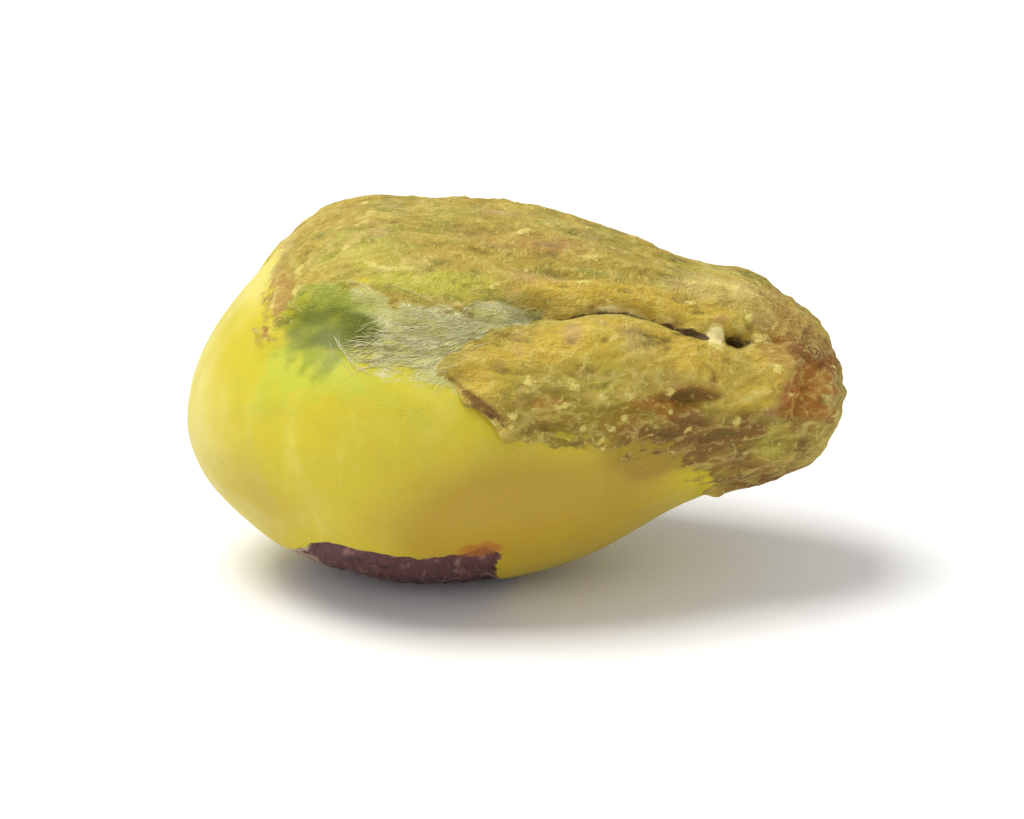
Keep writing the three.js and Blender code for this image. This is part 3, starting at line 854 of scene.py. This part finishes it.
kernel_colour = lay_coats(tree, leaf_colour, [
    (fibre_colour, field["fibre_edge"], crepe, 1.6, -0.2, 0.3, 0.95),
    (skin_colour, field["skin_edge"], crepe, field["skin_fray"], -0.04, field["skin_full"], 1.0),
    (violet_colour, field["violet_edge"], grit, 0.3, -0.03, 0.03, 1.0),
    # Painted shade along the deep crack, creases and pit, partly dried brown
    (DRIED_BROWN_AND_SHADE, field["dark_line"], grit, 1.2, 0.3, 0.95, 0.9),
])

# %% Gloss and fine bumps of the kernel
# The roughness is typical of wax, about 0.4, and of dry paper, about 0.7. The change between them
# begins well outside the skin, where wisps of it cling to the leaf. The IOR is that of plant oil
WAX_ROUGHNESS, PAPER_ROUGHNESS, OIL_IOR = 0.42, 0.72, 1.46
# How deep the light goes into the seed, in millimetres, and how far in red, green and blue
GLOW_DEPTH, GLOW_COLOURS = 0.4, (1.0, 0.8, 0.3)
roughness = add(tree, "ShaderNodeMapRange", {
    "Value": field["papery"], "From Min": -0.9, "From Max": 0.1,
    "To Min": WAX_ROUGHNESS, "To Max": PAPER_ROUGHNESS,
}).outputs[0]
height = 0.0
for crest, rise in [(crepe_crest, "crepe_height"), (grit_crest, "grit_height"),
                    (thread_crest, "thread_height"), (pleat_crest, "pleat_height")]:
    raised = add(tree, "ShaderNodeMath", {0: crest, 1: field[rise], 2: height}, operation="MULTIPLY_ADD")
    height = raised.outputs[0]
bump = add(tree, "ShaderNodeBump", {"Height": height, "Strength": 1.0, "Distance": MM}).outputs[0]
feed(tree, kernel_shader, {
    "Base Color": kernel_colour, "Roughness": roughness, "Normal": bump, "IOR": OIL_IOR,
    "Subsurface Weight": 0.12, "Subsurface Radius": GLOW_COLOURS, "Subsurface Scale": GLOW_DEPTH * MM,
})
kernel.data.materials.append(kernel_finish)
print(len(tree.nodes), "nodes in the kernel's finish")

# %% [markdown]
# Where the skin tore, its edge has dried, curled and lifted off the leaf, and it throws a thin
# shadow. An overhang can't be part of a surface that only moves outward, so the lifted edge is a
# narrow closed ribbon. It follows the frayed edge, which is found by stepping across the outline
# until the skin ends, and it is painted from the same fields as the skin that it belongs to.

# %% The way along a torn edge
TORN_PATHS = [
    [(0.2, 46), (-1.05, 38), (-1.85, 30), (-1.1, 21.5), (-0.55, 15.5), (-0.1, 11), (0.9, 8), (1.9, 4)],
    [(-6.85, 128), (-6.8, 145), (-6.25, 180), (-5.3, 215), (-4.3, 228)],
]
RIBBON_STEP, TYPICAL_RADIUS = 0.06, 4.5


def beside(along, around, aside, offset):
    """Places that lie an offset in millimetres to one side of other places."""
    radius = places_at(direction_of(along, around)).radius
    return along + aside[0] * offset, around + np.degrees(aside[1] * offset / radius)


def smoothed(line, reach):
    """A line of numbers, each replaced by the mean of those within a reach of so many steps."""
    window = 2 * reach + 1
    return np.convolve(np.pad(line, reach, mode="edge"), np.ones(window) / window, mode="valid")


def along_path(path):
    """Even, rounded steps along a path: the way gone, along, around, and which way is aside."""
    reaches = [math.hypot(b[0] - a[0], math.radians(b[1] - a[1]) * TYPICAL_RADIUS)
               for a, b in zip(path, path[1:])]
    ways = np.cumsum([0, *reaches])
    way = np.arange(0, ways[-1], RIBBON_STEP)
    along, around = (smoothed(np.interp(way, ways, [spot[k] for spot in path]), 3) for k in range(2))
    ahead = np.stack((np.gradient(along), np.radians(np.gradient(around)) * TYPICAL_RADIUS))
    return way, along, around, np.stack((ahead[1], -ahead[0])) / np.hypot(*ahead)


print(len(TORN_PATHS), "torn edges, in steps of", RIBBON_STEP, "mm")

# %% The lifted edge of the torn skin
# Round the ribbon's section: how far outside the skin's edge, and how high over the skin there
RIBBON_SECTION = [(-0.25, -0.03), (-0.1, 0.02), (0.02, 0.05), (0.1, 0.055), (0.13, 0.02), (0.08, 0.01),
                  (0.0, 0.0), (-0.2, -0.09)]
# Steps to the side at which the skin's edge is looked for
SEARCH = np.linspace(-0.45, 0.45, 19)
# How much the edge curls, how that sways and ripples, and their waves in radians per millimetre
CURL, CURL_SWAY, CURL_RIPPLE = 0.9, 0.6, 0.3
SWAY_WAVES, RIPPLE_WAVE = (3.1, 1.3), 9.7
# At both ends of a ribbon its curl rises this fast from this little
CURL_END_RISE, CURL_LEAST = 3, 0.05
# The ribbon takes its height from the skin at least this far inside the edge
ROOT_INSIDE = 0.08
# The shader takes the ribbon for skin that is at least this far from its edge, and nowhere thin
PAINTED_INSIDE = 0.4


def curl_of(way):
    """How much the torn edge curls at each step of the way."""
    sway = np.sin(way * SWAY_WAVES[0]) * np.sin(way * SWAY_WAVES[1] + 1)
    curl = CURL + CURL_SWAY * sway + CURL_RIPPLE * np.sin(way * RIPPLE_WAVE)
    return curl * np.clip(np.sin(math.pi * way / way[-1]) * CURL_END_RISE, CURL_LEAST, 1)


def torn_edge_ribbon(path):
    """Points and faces of a ribbon along a torn edge, with their places and what is found there."""
    way, along, around, aside = along_path(path)
    reach = [edge_distance(places_at(direction_of(*beside(along, around, aside, offset))),
                           SKIN_OUTLINE, SKIN_LOWEST_ANGLE) for offset in SEARCH]
    if reach[0].mean() < reach[-1].mean():
        aside, reach = -aside, reach[::-1]
    edge = SEARCH[0] + (np.array(reach) > 0).sum(axis=0) * (SEARCH[1] - SEARCH[0])
    edge = smoothed(edge, 1)
    curl = curl_of(way)
    points, alongs, arounds = [], [], []
    for outside, rise in RIBBON_SECTION:
        offset = edge + (outside * curl if outside > 0 else outside)
        root = beside(along, around, aside, np.minimum(offset, edge - ROOT_INSIDE))
        on_skin = places_at(direction_of(*root))
        height = relief_height(on_skin, survey(on_skin))
        spot = beside(along, around, aside, offset)
        place = places_at(direction_of(*spot))
        points.append(place.body + place.outward * (height + rise * (curl if rise > 0 else 1))[:, None])
        alongs.append(spot[0])
        arounds.append(spot[1])
    count, rows = len(way), len(RIBBON_SECTION)
    faces = [(a * count + i, b * count + i, b * count + i + 1, a * count + i + 1)
             for a, b in zip(range(rows), [*range(1, rows), 0]) for i in range(count - 1)]
    faces.append(tuple(k * count for k in reversed(range(rows))))
    faces.append(tuple((k + 1) * count - 1 for k in range(rows)))
    place = places_at(direction_of(np.concatenate(alongs), np.concatenate(arounds)))
    found = survey(place)
    found.skin_edge = np.maximum(found.skin_edge, PAINTED_INSIDE)
    found.cover, found.thin = np.ones(len(place.along)), np.zeros(len(place.along))
    return np.concatenate(points), faces, place, found


for number, path in enumerate(TORN_PATHS, 1):
    points, faces, place, found = torn_edge_ribbon(path)
    ribbon = mesh_object(f"torn_skin_edge_{number}", points, faces)
    paint(ribbon.data, place, found)
    ribbon.data.materials.append(kernel_finish)
    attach(ribbon, "root")
    print(ribbon.name, len(points), "points")

# %% [markdown]
# The open seam is lined with loose pale fibres of torn skin. Hair curves would be lost in an
# export, so each fibre is a thin closed tube of its own, tapered at both ends, that starts and
# ends in the surface and arches a little way off it. Most of them run roughly along the trough,
# as the tear did. Real ones are about a hundredth of a millimetre thick, and these are twice
# that, so that they show.

# %% Where the fibres of the open seam lie
# The trough's middle line, with its half width in millimetres
TROUGH = [(-4.3, 36, 0.4), (-3.6, 37, 0.8), (-2.6, 38, 1.0), (-1.7, 40, 0.75), (-0.8, 45, 0.45),
          (0.8, 52, 0.12)]
SEAM_RADIUS = 4.9
FIBRE_COUNT, FIBRE_POINTS = 190, 10
# A fibre follows this share of the trough's slope, which is measured to a place half a stretch
# ahead, about so many millimetres on
SLOPE_SHARE, STRETCH_AHEAD, LENGTH_AHEAD = 0.6, 0.5, 0.6
# Middle and spread of the heading and bend in radians, and of the offset across the trough
HEADING_DRAW, BEND_DRAW, ACROSS_DRAW = (0.05, 0.3), (0, 0.5), (0, 0.5)
# Ranges of the length and the radius, and what is added to the trough's half width for the length
LENGTH_DRAW, RADIUS_DRAW, LENGTH_BASE = (0.3, 1.1), (0.007, 0.015), 0.5
# Moves a bent fibre back over its own middle
BEND_MIDDLE = 0.12
# Thicker fibres that hang across the trough at the broad end, each with its radius
THICK_FIBRES = [((-4.95, 43), (-4.7, 37), (-4.25, 31), (-3.8, 27.5), 0.02),
                ((-4.85, 41), (-4.5, 35), (-4.3, 30), (-3.6, 26.5), 0.014),
                ((-4.75, 42), (-4.65, 36), (-4.0, 31), (-3.5, 29), 0.012),
                ((-5.0, 40), (-4.8, 34), (-4.45, 30), (-4.2, 26), 0.01)]
FIBRE_DRAW = random.Random(5)


def drawn_fibre():
    """Along, around and radius of one fibre, which starts somewhere in the trough."""
    share = FIBRE_DRAW.uniform(0, len(TROUGH) - 1)
    steps = range(len(TROUGH))
    along, around, half_width = (np.interp(share, steps, [row[k] for row in TROUGH]) for k in range(3))
    ahead = np.interp(min(share + STRETCH_AHEAD, len(TROUGH) - 1), steps, [row[1] for row in TROUGH])
    slope = math.atan2(math.radians(ahead - around) * SEAM_RADIUS, LENGTH_AHEAD)
    heading = SLOPE_SHARE * slope + FIBRE_DRAW.gauss(*HEADING_DRAW)
    bend = FIBRE_DRAW.gauss(*BEND_DRAW)
    length = FIBRE_DRAW.uniform(*LENGTH_DRAW) * (LENGTH_BASE + half_width)
    t = np.linspace(-0.5, 0.5, FIBRE_POINTS)
    dx = length * t * math.cos(heading)
    dy = length * (t * math.sin(heading) + bend * (t * t - BEND_MIDDLE))
    dy += half_width * FIBRE_DRAW.gauss(*ACROSS_DRAW)
    return along + dx, around + np.degrees(dy / SEAM_RADIUS), FIBRE_DRAW.uniform(*RADIUS_DRAW)


fibres = [drawn_fibre() for _ in range(FIBRE_COUNT)]
for *knots, radius in THICK_FIBRES:
    spots = np.linspace(0, len(knots) - 1, FIBRE_POINTS)
    line = [np.interp(spots, range(len(knots)), [knot[k] for knot in knots]) for k in range(2)]
    fibres.append((*line, radius))
print(len(fibres), "fibres drawn")

# %% Make the fibres
# How high a fibre arches in millimetres, the range that scales it, and how deep its ends are sunk
# and how thin they are, as shares of its radius and of its length
FIBRE_LIFT, ARCH_DRAW, SUNK_SHARE, TAPER = 0.045, (0.3, 1.0), 0.3, 0.03


def fibre_mesh(fibres):
    """Points and faces of tapered tubes that lie along the kernel's surface."""
    points, faces = [], []
    t = np.linspace(0, 1, FIBRE_POINTS)
    for along, around, radius in fibres:
        place = places_at(direction_of(along, around))
        path, _ = kernel_surface(place)
        arch = FIBRE_LIFT * FIBRE_DRAW.uniform(*ARCH_DRAW) * np.sin(math.pi * t) - SUNK_SHARE * radius
        path = path + place.outward * arch[:, None]
        side = np.cross(np.gradient(path, axis=0), place.outward)
        side /= np.linalg.norm(side, axis=1, keepdims=True)
        thickness = radius * np.sqrt(np.sin(math.pi * (TAPER + (1 - 2 * TAPER) * t)))
        start = len(points)
        for turn in (0, 2 * math.pi / 3, 4 * math.pi / 3):
            ring = math.cos(turn) * place.outward + math.sin(turn) * side
            points.extend(path + thickness[:, None] * ring)
        rows = [start + k * FIBRE_POINTS for k in range(3)]
        for a, b in zip(rows, rows[1:] + rows[:1]):
            faces += [(a + i, b + i, b + i + 1, a + i + 1) for i in range(FIBRE_POINTS - 1)]
        faces += [tuple(rows[::-1]), tuple(row + FIBRE_POINTS - 1 for row in rows)]
    return np.array(points), faces


fibre_points, fibre_faces = fibre_mesh(fibres)
seam_fibres = mesh_object("seam_fibres", fibre_points, fibre_faces)
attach(seam_fibres, "root")
fibre_finish, tree, fibre_shader = new_material("pale_seed_fibre")
where = add(tree, "ShaderNodeTexCoord").outputs["Object"]
uneven, _ = creased(tree, where, 0.5, 6.0)
fibre_tint = lay_coats(tree, "dad5a6", [("c2bc80", uneven, uneven, 1.0, 0.0, 0.2, 0.7)])
# Dry plant fibre is matt, with the IOR of cellulose, and its tint changes from one to the next
feed(tree, fibre_shader, {"Base Color": fibre_tint, "Roughness": 0.6, "IOR": 1.5})
seam_fibres.data.materials.append(fibre_finish)
print(len(fibres), "fibres,", len(fibre_faces), "faces")

# %% [markdown]
# The floor is plain and pale, as in a studio. It lies a hundredth of a millimetre low, so that it
# and the kernel's flat spot never share one plane.

# %% Floor
# Half its width, and how far it lies below the kernel, in millimetres
FLOOR_HALF, FLOOR_DROP = 900, 0.01
corners = np.array([(-1, -1), (1, -1), (1, 1), (-1, 1)]) * FLOOR_HALF
floor = mesh_object("floor", np.column_stack((corners, np.full(4, -FLOOR_DROP))), [(0, 1, 2, 3)])
floor_finish, tree, floor_shader = new_material("matt_white_board")
feed(tree, floor_shader, {"Base Color": "f4f3f0", "Roughness": 0.7})
floor.data.materials.append(floor_finish)
print("floor", 2 * FLOOR_HALF, "mm wide")

# %% [markdown]
# The light is soft and comes from the upper left and a little from behind, as a large window
# would give it. A wide fill lamp and a pale sky keep the shadows open. The lamps stand well away,
# so that none of them gets between the kernel and a camera that goes round it.

# %% Lamps and sky
def lamp(name, place, width, watts):
    """A square area lamp that looks at the spot that the kernel lies on."""
    data = bpy.data.lights.new(name, "AREA")
    data.size, data.energy = width, watts
    made = into_scene(name, data)
    made.location = place
    made.rotation_euler = (-Vector(place)).to_track_quat("-Z", "Y").to_euler()
    print(name, "at", place)


# Places and widths are in metres
lamp("window_light", (-0.45, 0.05, 1.05), 0.6, 11.5)
lamp("fill_light", (-0.4, -1.1, 0.6), 0.9, 2.5)
world = bpy.data.worlds.new("pale_sky")
world.use_nodes = True
feed(world.node_tree, world.node_tree.nodes["Background"], {"Color": "fbfbff", "Strength": 0.6})
bpy.context.scene.world = world
bpy.context.scene.view_settings.view_transform = "Standard"

# %% [markdown]
# The picture seems to be taken from about 22 degrees above the table, with the kernel lying square
# across the view. A long lens keeps its outline as flat as the picture's. The distance follows
# from the share of the frame's width that the kernel fills.

# %% Camera
VIEW_ELEVATION = math.radians(22)
SHARE_OF_WIDTH = 0.64
# The lens, its sensor and the height that the camera looks at, in millimetres
LENS, SENSOR, AIM_HEIGHT = 500, 36, 4.5
frame_width = (cad_high.x - cad_low.x) / SHARE_OF_WIDTH
distance = frame_width * LENS / SENSOR
back = Vector((0, -math.cos(VIEW_ELEVATION), math.sin(VIEW_ELEVATION)))
camera_data = bpy.data.cameras.new("camera")
camera_data.lens, camera_data.sensor_width = LENS, SENSOR
camera_data.clip_start, camera_data.clip_end = 0.01, 10
camera = into_scene("camera", camera_data)
camera.location = Vector((0, 0, AIM_HEIGHT * MM)) + back * distance
camera.rotation_euler = (-back).to_track_quat("-Z", "Y").to_euler()
bpy.context.scene.camera = camera
print("camera distance in m:", round(distance, 3))
